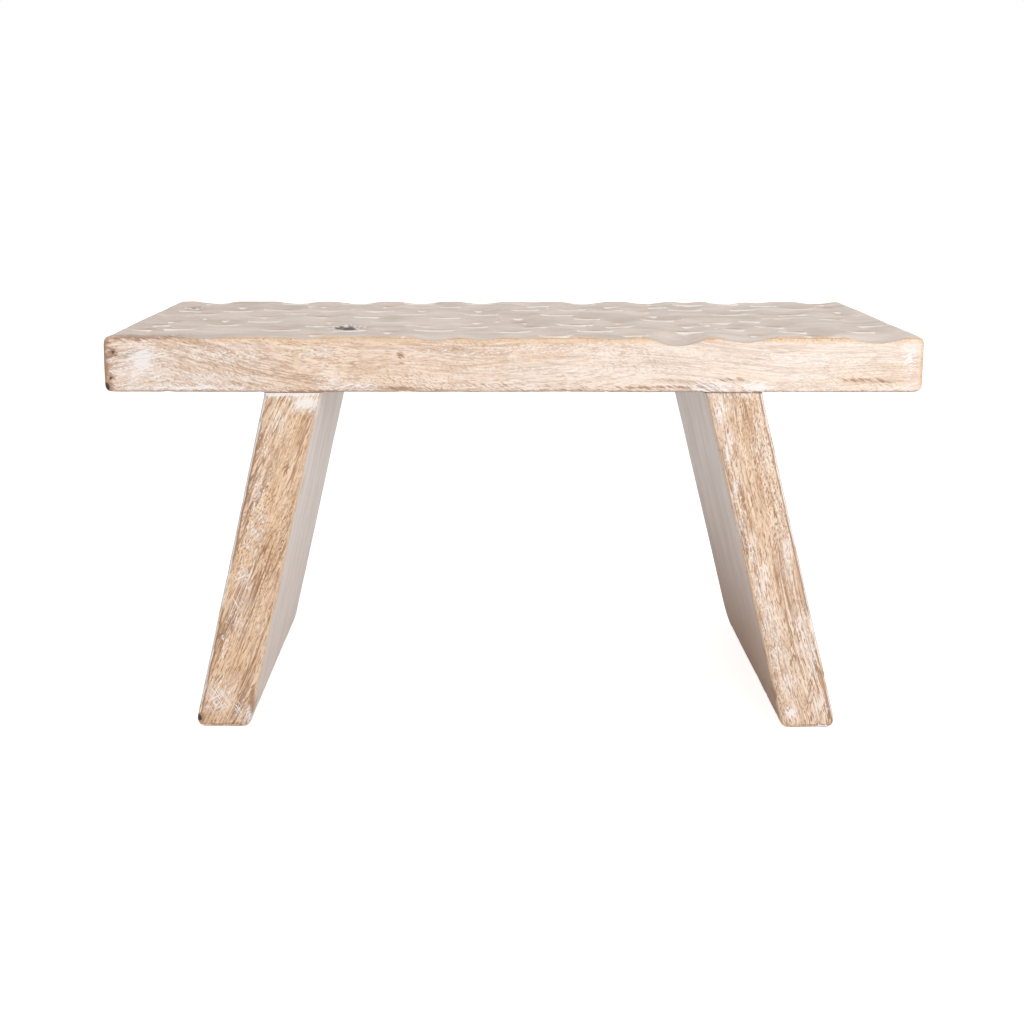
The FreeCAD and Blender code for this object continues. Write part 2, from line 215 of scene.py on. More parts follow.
LEG_SCRATCHED = {
    "left": ((-224, 22, 12, 14, 0.8), (-212, 16, 12, 10, 0.7), (-203, 118, 6, 8, 0.9),
             (-206, 100, 8, 8, 0.7)),
    "right": ((196, 86, 8, 4, 0.6), (210, 18, 10, 8, 0.4)),
}
# The blots fade out between these distances behind the front, in millimetres.
BLOT_DEPTH = (6, 40)
# Knots in the carved top, given as the blots are but with (x, y)
TOP_KNOTS = ((-275, 78, 10, 9, 1.0), (-128, -60, 13, 11, 1.0))
# How dark the painted shade on each leg's inner face is at the floor, where shade falls
PAINTED_SHADE_AT_FLOOR = {"left": 0.25, "right": 1.0}
# How much filler shows on the front at the top of each leg
FILLER = {"left": 1.3, "right": 0.6}

# How rough and glossy the wood is, how much rougher the wash makes it, and how much of the thin
# wash lies all over
WOOD_ROUGHNESS = 0.48
WASH_ROUGHNESS = 0.1
WOOD_GLOSS = 0.35
THIN_WASH = 0.28

# Stage: the floor's half width, how much it glows to the camera and in gloss, and the lamps
FLOOR_REACH = 6.0
FLOOR_GLOW = 0.7
FLOOR_GLOW_IN_GLOSS = 0.3
KEY_PLACE = (1.5, -2.3, 1.1)
FILL_PLACE = (-1.6, -2.3, 1.1)
LAMP_SIZE = 1.8

# The camera stands where the photograph was taken from.
CAMERA_PLACE = Vector((-0.0152, -1.1168, 0.4305))
CAMERA_TURN = (math.radians(81.18), 0.0, math.radians(0.27))
CAMERA_LENS = 48.40
CAMERA_SHIFT = (0.0254, -0.14)


# Settings that a user would change

def length(name, description, default):
    """A size in metres."""
    return FloatProperty(
        name=name, description=description, default=default, min=0.0, unit="LENGTH")


def power(name, description, default):
    """Power of a lamp in watts."""
    return FloatProperty(name=name, description=description, default=default, unit="POWER")


def share(name, description, default):
    """A plain amount from nothing to twice full."""
    return FloatProperty(name=name, description=description, default=default, min=0.0, max=2.0)


def colour(name, description, default):
    """A surface colour."""
    return FloatVectorProperty(name=name, description=description, default=default, size=3,
                               min=0.0, max=1.0, subtype="COLOR")


class StoolShapeSettings(bpy.types.PropertyGroup):
    """Sizes of the hand work on the planks."""

    seat_spacing: length("Seat Spacing", "Distance between the mesh lines of the seat", 0.0024)
    leg_spacing: length("Leg Spacing", "Distance between the mesh lines of a leg", 0.0032)
    seat_arris: length("Seat Arris", "Rounding of the seat's edges", 0.0036)
    leg_arris: length("Leg Arris", "Width of the rounded edge of a leg", 0.0036)
    rim_softness: length(
        "Rim Softness", "How far sanding has softened the rims of the bowls", 0.0028)
    unevenness: length("Unevenness", "How far the planed faces wander from flat", 0.0005)
    chip_depth: length("Chip Depth", "Depth of the small chips along the arrises", 0.0007)


class StoolFinishSettings(bpy.types.PropertyGroup):
    """Colours and amounts of the whitewashed finish."""

    pale_wood: colour(
        "Pale Wood", "The bleached wood between the grain lines", (0.93, 0.815, 0.725))
    golden_wood: colour(
        "Golden Wood", "The yellower wood of the legs and of patches", (0.885, 0.635, 0.42))
    tan_wood: colour("Tan Wood", "The wood where less bleach has taken", (0.60, 0.36, 0.20))
    brown_grain: colour("Brown Grain", "Dark grain lines, pores and stains", (0.34, 0.175, 0.09))
    black_heart: colour(
        "Black Heart", "Hearts of the knots and the darkest stains", (0.05, 0.04, 0.04))
    arris_tan: colour("Arris Tan", "Wood worn bare along the arrises", (0.78, 0.54, 0.35))
    white_wash: colour("White Wash", "The thick wash in patches and pores", (0.90, 0.87, 0.855))
    # Painted highlight: the bright cream on the front lips of the bowls
    lip_highlight_colour: colour(
        "Lip Highlight", "Painted highlight on the front lips of the bowls", (0.99, 0.93, 0.87))
    handled_wood: colour("Handled Wood", "The waxed top", (0.785, 0.683, 0.62))
    # Painted sheen: the grey of the legs' inner faces
    inner_sheen_wood: colour(
        "Inner Sheen Wood", "The grey inner faces of the legs", (0.89, 0.835, 0.81))
    weathered_grain: colour(
        "Weathered Grain", "Grey-brown veins of the top and the inner faces", (0.40, 0.31, 0.235))
    # Painted shade: the brown low on the legs' inner faces
    painted_shade_brown: colour("Painted Shade Brown", "The inner faces low down", (0.34, 0.19, 0.11))
    dowel_wood: colour("Dowel Wood", "Bare turned hardwood", (0.70, 0.50, 0.30))
    wash_amount: share("Wash Amount", "How much white wash is left on the wood", 1.0)
    grain_amount: share("Grain Amount", "How strongly the grain shows", 1.0)


class StoolStageSettings(bpy.types.PropertyGroup):
    """Floor and light."""

    floor_colour: colour("Floor Colour", "Plain pale floor", (0.84, 0.84, 0.84))
    room_light: share("Room Light", "Strength of the white surroundings", 0.7)
    key_power: power("Key Power", "Soft lamp at the front right", 38.0)
    fill_power: power("Fill Power", "Soft lamp at the front left", 4.0)


# Mesh work

def lattice_lines(low, high, spacing, edge):
    """Places of the lattice lines from low to high, close together over the roundings."""
    steps = max(1, round((high - low - 2 * edge) / spacing))
    near = np.array((0.0, 0.22, 0.45, 0.7)) * edge
    middle = np.linspace(low + edge, high - edge, steps + 1)
    return np.concatenate((low + near, middle, high - near[::-1]))


def block_lattice(xs, ys, zs):
    """Points and outward quads of the surface of a block with these lattice lines."""
    numbers, points, quads = {}, [], []

    def at(i, j, k):
        if (i, j, k) not in numbers:
            numbers[i, j, k] = len(points)
            points.append((xs[i], ys[j], zs[k]))
        return numbers[i, j, k]

    def quad(first, step_1, step_2):
        corners = (first, first + step_1, first + step_1 + step_2, first + step_2)
        quads.append(tuple(at(*corner) for corner in corners))

    nx, ny, nz = len(xs) - 1, len(ys) - 1, len(zs) - 1
    ahead, back, up = np.eye(3, dtype=int)
    for i in range(nx):
        for j in range(ny):
            quad((i, j, nz), ahead, back)
            quad((i, j, 0), back, ahead)
        for k in range(nz):
            quad((i, 0, k), ahead, up)
            quad((i, ny, k), up, ahead)
    for j in range(ny):
        for k in range(nz):
            quad((0, j, k), up, back)
            quad((nx, j, k), back, up)
    return np.array(points), quads


def distance_to_arris(points, low, high):
    """How far each point of a block's surface lies from the block's nearest sharp edge."""
    gaps = np.minimum(np.abs(points - low), np.abs(points - high))
    return np.sort(gaps, axis=1)[:, 1]


def ease(values, start, end):
    """Smooth step from 0 at start to 1 at end."""
    t = np.clip((values - start) / (end - start), 0.0, 1.0)
    return t * t * (3.0 - 2.0 * t)


def wander(points, size, seed):
    """Slow unevenness from -1 to 1 over patches of one size."""
    offset = Vector((seed, -seed, 2 * seed))
    return np.array([noise.noise(Vector(p) / size + offset) for p in points])


def blots(points, axes, places):
    """Strength of the hand-laid blots at each point, as they lie across two of its axes."""
    total = np.zeros(len(points))
    first, second = points[:, axes[0]], points[:, axes[1]]
    for middle_1, middle_2, reach_1, reach_2, strength in places:
        off_1 = (first - middle_1 * MM) / (reach_1 * MM)
        off_2 = (second - middle_2 * MM) / (reach_2 * MM)
        total = np.maximum(total, strength * np.exp(-off_1 ** 2 - off_2 ** 2))
    return total


def front_blots(points, places):
    """Strength of the blots on a piece's front."""
    start, end = (FRONT + depth * MM for depth in BLOT_DEPTH)
    return blots(points, (0, 2), places) * (1.0 - ease(points[:, 1], start, end))


def planed(block, sizes, seeds):
    """How low a planed face lies, from 0 to about 1, in broad and in fine waves."""
    broad, fine = (wander(block, size, seed) for size, seed in zip(sizes, seeds))
    return np.maximum(0.5 + 0.5 * broad + 0.3 * fine, 0.0)


def chipped(block, to_arris, edge, seed):
    """Where small chips have come off along the arrises."""
    near_arris = 1.0 - ease(to_arris, 0.6 * edge, 2.2 * edge)
    return ease(wander(block, CHIP_SIZE, seed), 0.25, 0.6) * near_arris


def in_scene(name, data):
    """New object in the scene, made of this data."""
    made = bpy.data.objects.new(name, data)
    bpy.context.scene.collection.objects.link(made)
    return made


def finish_mesh(name, points, quads, masks):
    """New smooth object from points and quads, which carries the masks; one not given is nought."""
    mesh = bpy.data.meshes.new(name)
    mesh.from_pydata(points.tolist(), [], quads)
    for mask in MASKS:
        values = masks.get(mask, np.zeros(len(points)))
        attribute = mesh.attributes.new(mask, "FLOAT", "POINT")
        attribute.data.foreach_set("value", np.maximum(values, 0.0).astype(np.float32))
    mesh.shade_smooth()
    mesh.update()
    return in_scene(name, mesh)


def solid_tree(node):
    """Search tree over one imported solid."""
    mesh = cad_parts[node].data
    return BVHTree.FromPolygons([v.co for v in mesh.vertices], [p.vertices for p in mesh.polygons])


def blur(grid, reach):
    """Gaussian blur of a grid, with its reach in cells."""
    span = np.arange(-math.ceil(3 * reach), math.ceil(3 * reach) + 1)
    weights = np.exp(-0.5 * (span / reach) ** 2)
    weights /= weights.sum()
    for _ in range(2):
        padded = np.pad(grid, ((len(span) // 2,) * 2, (0, 0)), mode="edge")
        grid = sum(w * padded[i:i + len(grid)] for i, w in enumerate(weights)).T
    return grid


def sample(grid, xs, ys, x, y):
    """Values of a grid at places between its lines."""
    u = np.clip((x - xs[0]) / (xs[1] - xs[0]), 0, len(xs) - 1.001)
    v = np.clip((y - ys[0]) / (ys[1] - ys[0]), 0, len(ys) - 1.001)
    i, j = u.astype(int), v.astype(int)
    u, v = u - i, v - j
    near = grid[i, j] * (1 - u) + grid[i + 1, j] * u
    far = grid[i, j + 1] * (1 - u) + grid[i + 1, j + 1] * u
    return near * (1 - v) + far * v


def carving(edge, softness):
    """Depth of the bowls over the top, their front walls and the lips before these.

    The lips before the front rims carry a painted highlight, and the front walls, widened
    backwards, carry painted shade.
    """
    tree = solid_tree("seat")
    step = MM
    xs = np.arange(SEAT_LOW.x + edge, SEAT_HIGH.x - edge, step)
    ys = np.arange(SEAT_LOW.y + edge, SEAT_HIGH.y - edge, step)
    above = SEAT_HIGH.z + 0.01
    down = Vector((0, 0, -1))
    heights = [[tree.ray_cast(Vector((x, y, above)), down)[0].z for y in ys] for x in xs]
    depth = blur(np.maximum(SEAT_HIGH.z - np.array(heights), 0.0), softness / step)
    slope_x, slope_y = np.gradient(depth, step)
    rim = np.gradient(slope_x, step)[0] + np.gradient(slope_y, step)[1]
    steepest = np.maximum(np.hypot(slope_x, slope_y), LEAST_SLOPE)
    facing = ease(slope_y / steepest, *FACING_FRONT)
    wall = ease(slope_y, *WALL_SLOPE) * facing
    lip = ease(rim, *RIM_BEND) * facing
    for _ in range(LIP_WIDTH):
        lip[:, :-1] = np.maximum(lip[:, :-1], lip[:, 1:] - 1.0 / LIP_WIDTH)
    lip = blur(lip, LIP_BLUR) * (1.0 - wall)
    for _ in range(WALL_WIDTH):
        wall[:, 1:] = np.maximum(wall[:, 1:], wall[:, :-1])
    return xs, ys, depth, wall, lip


def soften(points, quads):
    """Move each point halfway to the middle of its neighbours."""
    corners = np.array(quads)
    total, count = np.zeros_like(points), np.zeros(len(points))
    for a, b in ((0, 1), (1, 2), (2, 3), (3, 0)):
        for start, end in ((corners[:, a], corners[:, b]), (corners[:, b], corners[:, a])):
            np.add.at(total, start, points[end])
            np.add.at(count, start, 1.0)
    return 0.5 * points + 0.5 * total / count[:, None]


# Pieces

def build_seat(shape):
    """The slab with rounded arrises, its top carved into bowls as in the solid."""
    edge = shape.seat_arris
    low, high = np.array(SEAT_LOW), np.array(SEAT_HIGH)
    middle = (low[2] + high[2]) / 2
    spacings = (shape.seat_spacing, 0.75 * shape.seat_spacing, shape.seat_spacing)
    lines = [lattice_lines(a, b, spacing, edge) for a, b, spacing in zip(low, high, spacings)]
    block, quads = block_lattice(*lines)
    to_arris = distance_to_arris(block, low, high)

    # The rounding is a ball of wandering size rolled inside the block, larger at the ends. Filler
    # is rubbed flush over the joints, so the under arris is nearly sharp above each leg.
    near_end = ease(np.abs(block[:, 0]), high[0] - 3 * edge, high[0])
    ball = edge * (1.0 + 0.25 * wander(block, ARRIS_PATCH, ARRIS_SEED) + 0.5 * near_end)
    filled = np.zeros(len(block))
    for side in SIDES:
        first, last = plank_faces(solid_tree(f"{side}_leg"), LEG_TOP - MM)
        over = ease(block[:, 0], first - FILLER_REACH, first + FILLER_REACH)
        over *= ease(-block[:, 0], -last - FILLER_REACH, -last + FILLER_REACH)
        filled = np.maximum(filled, over)
    filled *= block[:, 2] < middle
    ball = (ball * (1.0 - 0.9 * filled))[:, None]
    core = np.clip(block, low + ball, high - ball)
    away = block - core
    outward = away / np.linalg.norm(away, axis=1)[:, None]
    points = core + outward * ball

    # The bowls cut the top and its rounding. Where one goes deeper than the rounding, the side
    # under it gives way down to half its height.
    xs, ys, *fields = carving(edge, shape.rim_softness)
    depth, wall, lip = (sample(field, xs, ys, points[:, 0], points[:, 1]) for field in fields)
    worn_and_shaded = shape.unevenness * planed(block, SEAT_WAVES, WAVE_SEEDS["seat"])
    worn_and_shaded += shape.chip_depth * chipped(block, to_arris, edge, CHIP_SEEDS["seat"])
    points -= outward * worn_and_shaded[:, None]
    top_share = ease(points[:, 2], middle, high[2] - edge)
    points[:, 2] -= np.maximum(depth - edge, 0.0) * top_share
    points[:, 2] = np.minimum(points[:, 2], high[2] - depth)
    points = soften(points, quads)

    # The upper arris is worn bare, less in the dips and towards the left end, and so is the right.
    on_top = ease(outward[:, 2], 0.55, 0.9)
    under = ease(-outward[:, 2], 0.55, 0.9)
    bare = ease(block[:, 2], middle, high[2] - 2 * edge)
    bare *= 1.0 - 0.9 * ease(depth, MM, 3 * MM) * ease(outward[:, 2], 0.3, 0.7)
    bare *= 0.25 + 0.75 * ease(block[:, 0], 0.9 * low[0], 0.3 * low[0])
    bare = np.maximum(bare, ease(block[:, 0], high[0] - 3 * edge, high[0]))
    masks = {
        "inset": to_arris / INSET_REACH,
        "bare": bare,
        # The lips carry a painted highlight, the bowls' walls painted shade.
        "lip": lip * on_top,
        "bowl": wall * on_top,
        "handled": on_top + 0.4 * under,
        "wash": front_blots(points, SEAT_WASH),
        "stain": front_blots(points, SEAT_STAIN),
        "scratched": front_blots(points, SEAT_SCRATCHED),
        "knot": blots(points, (0, 1), TOP_KNOTS) * on_top,
    }
    return finish_mesh("seat_carved", points, quads, masks)


def plank_faces(tree, height):
    """X of the two broad faces of a leg at one height, on the middle of its depth."""
    middle = (SEAT_LOW.y + SEAT_HIGH.y) / 2
    outside = 0.1
    first = tree.ray_cast(Vector((CAD_BOX[0][0] - outside, middle, height)), Vector((1, 0, 0)))[0]
    last = tree.ray_cast(Vector((CAD_BOX[1][0] + outside, middle, height)), Vector((-1, 0, 0)))[0]
    return np.array((first.x, last.x))


def build_leg(side, shape):
    """One splayed plank, laid on the faces and roundings of the solid, and its lean towards +X."""
    tree = solid_tree(f"{side}_leg")
    edge = shape.leg_arris
    low_height, high_height = 0.25 * LEG_TOP, 0.75 * LEG_TOP
    low_faces, high_faces = plank_faces(tree, low_height), plank_faces(tree, high_height)
    lean = (high_faces - low_faces) / (high_height - low_height)
    faces_at_floor = low_faces - lean * low_height
    thickness = faces_at_floor[1] - faces_at_floor[0]

    # The lattice is laid out upright and square, then leant over and settled on the solid. Its top
    # lies in the joint: it stays where it is and has no arris.
    low = np.array((0.0, SEAT_LOW.y, 0.0))
    high = np.array((thickness, SEAT_HIGH.y, LEG_TOP))
    lines = [lattice_lines(a, b, shape.leg_spacing, edge) for a, b in zip(low, high)]
    block, quads = block_lattice(*lines)
    to_arris = distance_to_arris(block, low, high + np.array((0.0, 0.0, 1.0)))
    points = block.copy()
    points[:, 0] = faces_at_floor[0] + block[:, 0] + lean[0] * block[:, 2]
    outward = np.zeros_like(points)
    for i in np.flatnonzero(block[:, 2] <= LEG_TOP - 1e-6):
        points[i], outward[i] = tree.find_nearest(Vector(points[i]))[:2]
    worn_and_shaded = shape.unevenness * planed(block, LEG_WAVES, WAVE_SEEDS[side])
    worn_and_shaded += shape.chip_depth * chipped(block, to_arris, edge, CHIP_SEEDS[side])
    worn_and_shaded *= ease(LEG_TOP - block[:, 2], 0.0, HELD_AT_JOINT)
    points -= outward * worn_and_shaded[:, None]

    across = block[:, 0] / thickness
    inwards = outward[:, 0]
    if side == "right":
        across, inwards = 1.0 - across, -inwards
    inner = ease(inwards, 0.6, 0.95)
    filler = ease(block[:, 2], LEG_TOP - FILLER_DROP, LEG_TOP - MM) * (1.0 - inner)
    masks = {
        "inset": to_arris / INSET_REACH,
        "bare": ease(across, 0.4, 0.9),
        # Painted sheen: the grey over the inner faces
        "inner_faces": inner,
        # Painted shade low on the inner faces, darkest at the floor
        "painted_shade": inner * PAINTED_SHADE_AT_FLOOR[side] * ease(-block[:, 2], -PAINTED_SHADE_HEIGHT, 0.03),
        "wash": np.maximum(front_blots(points, LEG_WASH[side]), FILLER[side] * filler),
        "stain": front_blots(points, LEG_STAIN[side]),
        "scratched": front_blots(points, LEG_SCRATCHED[side]),
    }
    return finish_mesh(f"{side}_leg_plank", points, quads, masks), math.atan(lean[0])


# Materials

class Graph:
    """Short hand for laying out the nodes of one tree."""

    def __init__(self, tree):
        self.tree = tree

    def add(self, kind, **settings):
        """New node of one kind, with its settings."""
        node = self.tree.nodes.new(kind)
        for name, value in settings.items():
            setattr(node, name, value)
        return node

    def feed(self, socket, value):
        """Link an output to a socket, or write a plain value there."""
        if isinstance(value, bpy.types.NodeSocket):
            self.tree.links.new(value, socket)
        else:
            socket.default_value = value

    def math(self, operation, *values, clamp=False):
        """Math on one to three numbers."""
        node = self.add("ShaderNodeMath", operation=operation, use_clamp=clamp)
        for socket, value in zip(node.inputs, values):
            self.feed(socket, value)
        return node.outputs[0]

    def scaled(self, value, factor, added, clamp=False):
        """A value times a factor, and something added."""
        return self.math("MULTIPLY_ADD", value, factor, added, clamp=clamp)

    def times(self, product, *values):
        """Product of all the values."""
        for value in values:
            product = self.math("MULTIPLY", product, value)
        return product

    def largest(self, found, *values):
        """Largest of all the values."""
        for value in values:
            found = self.math("MAXIMUM", found, value)
        return found

    def swayed(self, value, noise_value, reach):
        """A value moved up and down by a noise, by half the reach each way."""
        return self.scaled(self.math("SUBTRACT", noise_value, 0.5), reach, value)

    def vector(self, operation, *values):
        """Math on one to three vectors."""
        node = self.add("ShaderNodeVectorMath", operation=operation)
        for socket, value in zip(node.inputs, values):
            self.feed(socket, value)
        return node.outputs["Value" if operation == "LENGTH" else "Vector"]

    def turn(self, vector, angle):
        """Turn a place about the Y axis."""
        node = self.add("ShaderNodeVectorRotate", rotation_type="Y_AXIS")
        self.feed(node.inputs["Vector"], vector)
        self.feed(node.inputs["Angle"], angle)
        return node.outputs[0]

    def noise(self, vector, fineness, octaves, roughness):
        """Noise with its own fineness per metre along each axis; the second output is a colour."""
        node = self.add("ShaderNodeTexNoise", noise_dimensions="3D")
        self.feed(node.inputs["Vector"], self.vector("MULTIPLY", vector, fineness))
        node.inputs["Scale"].default_value = 1.0
        node.inputs["Detail"].default_value = octaves
        node.inputs["Roughness"].default_value = roughness
        return node.outputs

    def figure(self, vector, name, output=0):
        """One of the noises that the wood is drawn with, as a value or, with output 1, a colour."""
        along, across, octaves, roughness = FIGURES[name]
        return self.noise(vector, (along, across, across), octaves, roughness)[output]

    def between(self, value, start, end, low=0.0, high=1.0):
        """Smooth step of a value from low at start to high at end."""
        node = self.add("ShaderNodeMapRange", interpolation_type="SMOOTHSTEP")
        for socket, given in zip(node.inputs, (value, start, end, low, high)):
            self.feed(socket, given)
        return node.outputs[0]

    def mask(self, name):
        """A value that the mesh carries at each point."""
        return self.add("ShaderNodeAttribute", attribute_name=name).outputs["Fac"]

    def paint(self, ground, layers):
        """Colours laid over a ground one after another, each with its strength."""
        colour_now = opaque(ground)
        for strength, coat in layers:
            node = self.add("ShaderNodeMix", data_type="RGBA")
            self.feed(node.inputs["Factor"], strength)
            self.feed(node.inputs[6], colour_now)
            self.feed(node.inputs[7], opaque(coat))
            colour_now = node.outputs[2]
        return colour_now

    def raise_surface(self, surface, height, strength, distance):
        """Give a surface its relief."""
        bump = self.add("ShaderNodeBump")
        self.feed(bump.inputs["Height"], height)
        self.feed(bump.inputs["Strength"], strength)
        self.feed(bump.inputs["Distance"], distance)
        self.feed(surface.inputs["Normal"], bump.outputs["Normal"])


def opaque(colour_value):
    """Four numbers for a colour socket."""
    return (*colour_value, 1.0)


def new_group(name, **inputs):
    """Graph and inputs of a new node group, and its position turned to lie along the grain.

    An input is a number or a vector as its default is. Underscores stand for spaces.
    """
    group = bpy.data.node_groups.new(name, "ShaderNodeTree")
    for label, default in {"Position": ORIGIN, "Turn": 0.0, **inputs}.items():
        kind = "NodeSocketVector" if isinstance(default, tuple) else "NodeSocketFloat"
        label = label.replace("_", " ")
        socket = group.interface.new_socket(label, in_out="INPUT", socket_type=kind)
        socket.default_value = default
    graph = Graph(group)
    given = graph.add("NodeGroupInput").outputs
    return graph, given, graph.turn(given["Position"], given["Turn"])


def close_group(graph, **values):
    """Put out the values of a node group under their names."""
    for label in values:
        graph.tree.interface.new_socket(label, in_out="OUTPUT", socket_type="NodeSocketFloat")
    result = graph.add("NodeGroupOutput").inputs
    for label, value in values.items():
        graph.feed(result[label], value)
    return graph.tree


def grain_group():
    """Growth rings, fibres and pores of one plank, from where it lay in the log."""
    graph, given, along = new_group(
        "Stool Grain", Place_In_Log=ORIGIN, Wander=0.03, Ring_Gap=0.012, Fleck_Turn=0.2)
    across = (0.0, 1.0, 1.0)
    in_log = graph.vector("ADD", along, given["Place In Log"])
    bends = graph.vector("SUBTRACT", graph.figure(in_log, "bends", output=1), (0.5, 0.5, 0.5))
    wander_across = graph.vector("MULTIPLY", given["Wander"], across)
    wood = graph.vector("MULTIPLY_ADD", bends, wander_across, in_log)

    # The rings lie round the heart of the log, one gap apart, and are roughened along the wood.
    from_heart = graph.vector("LENGTH", graph.vector("MULTIPLY", wood, across))
    turns = graph.math("DIVIDE", from_heart, given["Ring Gap"])
    turns = graph.scaled(graph.figure(wood, "rough rings"), 1.6, turns)
    wave = graph.math("SINE", graph.times(turns, 2 * math.pi))

    # Lines are drawn where their noise passes its middle, and only in the streaks.
    streaks = graph.figure(wood, "streaks")
    level = graph.figure(graph.vector("ADD", wood, (0.7, 0.3, 0.1)), "lines")
    off_level = graph.math("ABSOLUTE", graph.math("SUBTRACT", level, 0.5))
    lines = graph.times(
        graph.between(off_level, 0.02, 0.07, 1.0, 0.0), graph.between(streaks, 0.36, 0.62))

    # Short flecks in some places, long pores mostly in the others
    flecks = graph.figure(graph.turn(wood, given["Fleck Turn"]), "flecks")
    pores = graph.figure(wood, "pores")
    where = graph.between(graph.figure(wood, "flecked places"), 0.38, 0.62)
    flecks = graph.times(graph.between(flecks, 0.54, 0.62), where)
    pores = graph.times(graph.between(pores, 0.56, 0.63), graph.scaled(where, -0.6, 1.0))
    pores = graph.largest(flecks, pores)

    fibres = graph.figure(wood, "fibres")
    relief = graph.scaled(pores, -0.7, graph.times(fibres, 0.6))
    return close_group(
        graph, Rings=graph.scaled(wave, 0.5, 0.5), Fibres=graph.between(fibres, 0.38, 0.68),
        Streaks=graph.between(streaks, 0.36, 0.66), Lines=lines, Pores=pores,
        Patches=graph.between(graph.figure(wood, "patches"), 0.36, 0.64),
        Relief=graph.scaled(lines, -0.4, relief))


def wash_group():
    """White wash: a thin veil, specks and strokes held in the grain, thick patches, scratches."""
    graph, given, along = new_group("Stool White Wash", Amount=0.5, Pores=0.0, Scratched=0.0)
    amount = given["Amount"]
    cloud = graph.figure(along, "wash clouds")
    brushed = graph.figure(along, "brush strokes")
    specks = graph.figure(along, "specks")
    veil = graph.times(
        graph.between(cloud, 0.35, 0.65), graph.between(brushed, 0.35, 0.65),
        graph.between(amount, 0.0, 1.0, 0.0, 0.75))

    # More amount lowers the level above which a stroke, a speck or a thick patch is white.
    stroke_level = graph.scaled(amount, -0.15, 0.68)
    strokes = graph.between(brushed, stroke_level, graph.math("ADD", stroke_level, 0.1))
    speck_level = graph.scaled(amount, -0.12, 0.67)
    dots = graph.between(specks, speck_level, graph.math("ADD", speck_level, 0.05))
    held = graph.times(graph.largest(strokes, dots), graph.between(amount, 0.25, 0.6))
    thick_level = graph.scaled(amount, -0.62, 1.06)
    ragged = graph.swayed(cloud, brushed, 1.3)
    thick = graph.between(ragged, thick_level, graph.math("ADD", thick_level, 0.28))

    # Two crossing sets of scratches: slant, shift of the noise, and how rare they are
    sets = []
    for slant, shift, rarity in ((1.0, 0.0, 0.56), (-0.6, 3.0, 0.64)):
        turned = graph.vector("ADD", graph.turn(along, slant), (shift, shift, shift))
        sets.append(graph.between(graph.figure(turned, "scratches"), rarity, rarity + 0.07))
    scratches = graph.times(graph.largest(*sets), graph.between(given["Scratched"], 0.15, 0.8))

    wash = graph.largest(veil, graph.times(held, 0.75))
    wash = graph.times(wash, graph.scaled(given["Pores"], -0.5, 1.0))
    wash = graph.largest(wash, graph.times(thick, 0.82), graph.times(scratches, 0.85))
    relief = graph.scaled(scratches, -0.5, graph.times(thick, 0.5))
    return close_group(graph, Wash=wash, Relief=relief)


def wear_and_shade_group():
    """Wear that follows the arrises: bare wood, a chalky line, a dark line and stains, with painted
    shade as an outline on the arris itself.
    """
    graph, given, along = new_group(
        "Stool Arris Wear And Shade", Inset=1.0, Bare=0.0, Bare_Width=0.5, Lines=1.0, Stain=0.0)
    slow = graph.figure(along, "slow wear")
    broken = graph.figure(graph.vector("ADD", along, (4.0, 1.0, 2.0)), "broken wear")
    grit = graph.figure(along, "grit")
    streaks = graph.figure(along, "weathered streaks")
    bands = graph.figure(along, "weathered bands")

    # From the arris inwards: a dark outline, which is painted shade on the rounded edge, then a
    # chalky and a dark line, both broken, which are gone where the wood is worn bare
    at_arris = given["Inset"]
    inset = graph.swayed(at_arris, slow, 0.35)
    lined = graph.times(given["Lines"], graph.scaled(given["Bare"], -0.85, 1.0))
    outline = graph.times(
        graph.between(at_arris, 0.02, 0.12, 0.6, 0.0), graph.between(broken, 0.3, 0.5))
    chalk = graph.times(
        graph.between(inset, 0.10, 0.22, 1.0, 0.0), graph.between(broken, 0.36, 0.46), lined)
    line = graph.times(
        graph.between(inset, 0.16, 0.24), graph.between(inset, 0.30, 0.42, 1.0, 0.0),
        graph.between(slow, 0.38, 0.48), lined)
    chips = graph.times(
        graph.between(grit, 0.56, 0.66), graph.between(at_arris, 0.1, 0.45, 0.7, 0.0))
    width = given["Bare Width"]
    bare = graph.times(
        graph.between(inset, graph.times(width, 0.5), width, 1.0, 0.0), given["Bare"],
        graph.between(grit, 0.34, 0.56, 0.3, 1.0))

    hatch = graph.figure(graph.turn(along, -0.5), "hatch")
    mottle = graph.swayed(graph.swayed(given["Stain"], hatch, 3.0), streaks, 2.0)
    stains = graph.times(graph.between(mottle, 0.45, 1.2), graph.between(given["Stain"], 0.05, 0.3))
    return close_group(
        graph, Bare=bare, Chalk=chalk, Dark=graph.largest(line, outline, chips, stains),
        Streaks=graph.between(streaks, 0.32, 0.68), Bands=graph.between(bands, 0.32, 0.68))


def shared_groups():
    """The effects that several woods use, built once."""
    makers = {"grain": ("Stool Grain", grain_group), "wash": ("Stool White Wash", wash_group),
              "wear_and_shade": ("Stool Arris Wear And Shade", wear_and_shade_group)}
    return {key: bpy.data.node_groups.get(name) or make() for key, (name, make) in makers.items()}


def place_group(graph, group, **values):
    """Put a shared group into a material; underscores in the names stand for spaces."""
    node = graph.add("ShaderNodeGroup", node_tree=group)
    for label, value in values.items():
        graph.feed(node.inputs[label.replace("_", " ")], value)
    return node.outputs


def new_material(name):
    """Material with an empty tree; returns it, its graph and its surface shader."""
    material = bpy.data.materials.new(name)
    material.use_nodes = True
    material.node_tree.nodes.clear()
    graph = Graph(material.node_tree)
    surface = graph.add("ShaderNodeBsdfPrincipled")
    output = graph.add("ShaderNodeOutputMaterial")
    graph.feed(output.inputs["Surface"], surface.outputs["BSDF"])
    return material, graph, surface


